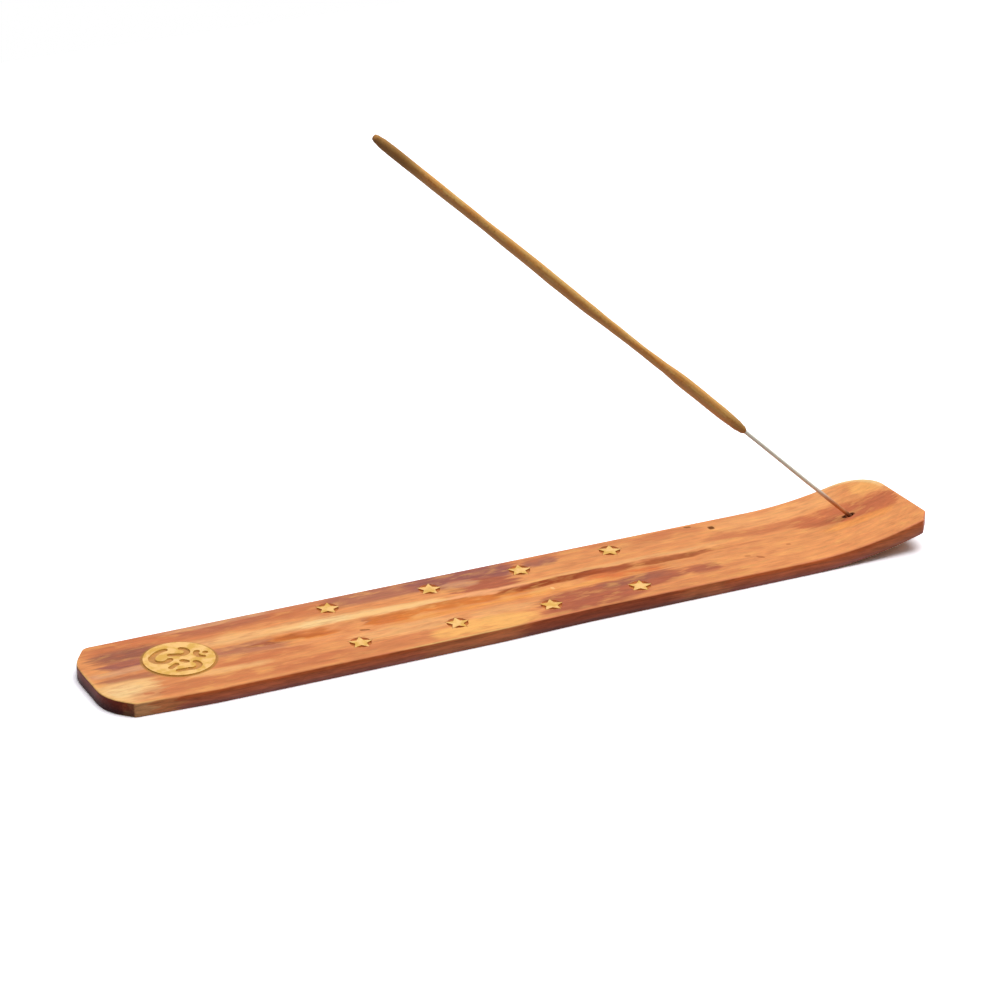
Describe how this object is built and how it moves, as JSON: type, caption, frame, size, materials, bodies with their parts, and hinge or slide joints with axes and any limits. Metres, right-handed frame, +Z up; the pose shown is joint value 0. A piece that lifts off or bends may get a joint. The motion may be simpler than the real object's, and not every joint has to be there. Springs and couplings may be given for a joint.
{
  "type": "incense stick holder",
  "caption": "Thin wooden plank with one end curled up, an ash groove, a pierced brass disc and brass star inlay, and an incense stick that stands slanted in a small socket near the curl.",
  "frame": {"origin": "On the table under the middle of the plank's length and width.", "axes": "+X along the plank towards the curled tip, +Y across the plank, +Z up from the table."},
  "size_m": [0.2545, 0.039, 0.1488],
  "materials": {
    "wood": "orange-brown hardwood with darker streaks, thin satin varnish",
    "brass": "sanded sheet brass with a dull shine, stars flush with the wood and disc a little proud of it",
    "bamboo": "raw split bamboo",
    "incense": "matt rolled incense paste of wood powder"
  },
  "bodies": {
    "holder": {"plank": "wood", "om_disc": "brass", "star_far_1": "brass", "star_far_2": "brass", "star_far_3": "brass", "star_far_4": "brass", "star_near_1": "brass", "star_near_2": "brass", "star_near_3": "brass", "star_near_4": "brass"},
    "stick": {"bamboo_core": "bamboo", "incense_coat": "incense"}
  },
  "joints": [
    {"name": "stick_pull", "type": "slide", "parent": "holder", "child": "stick", "axis": [-0.7285, 0, 0.6851], "range_m": [0, 0.03]}
  ]
}
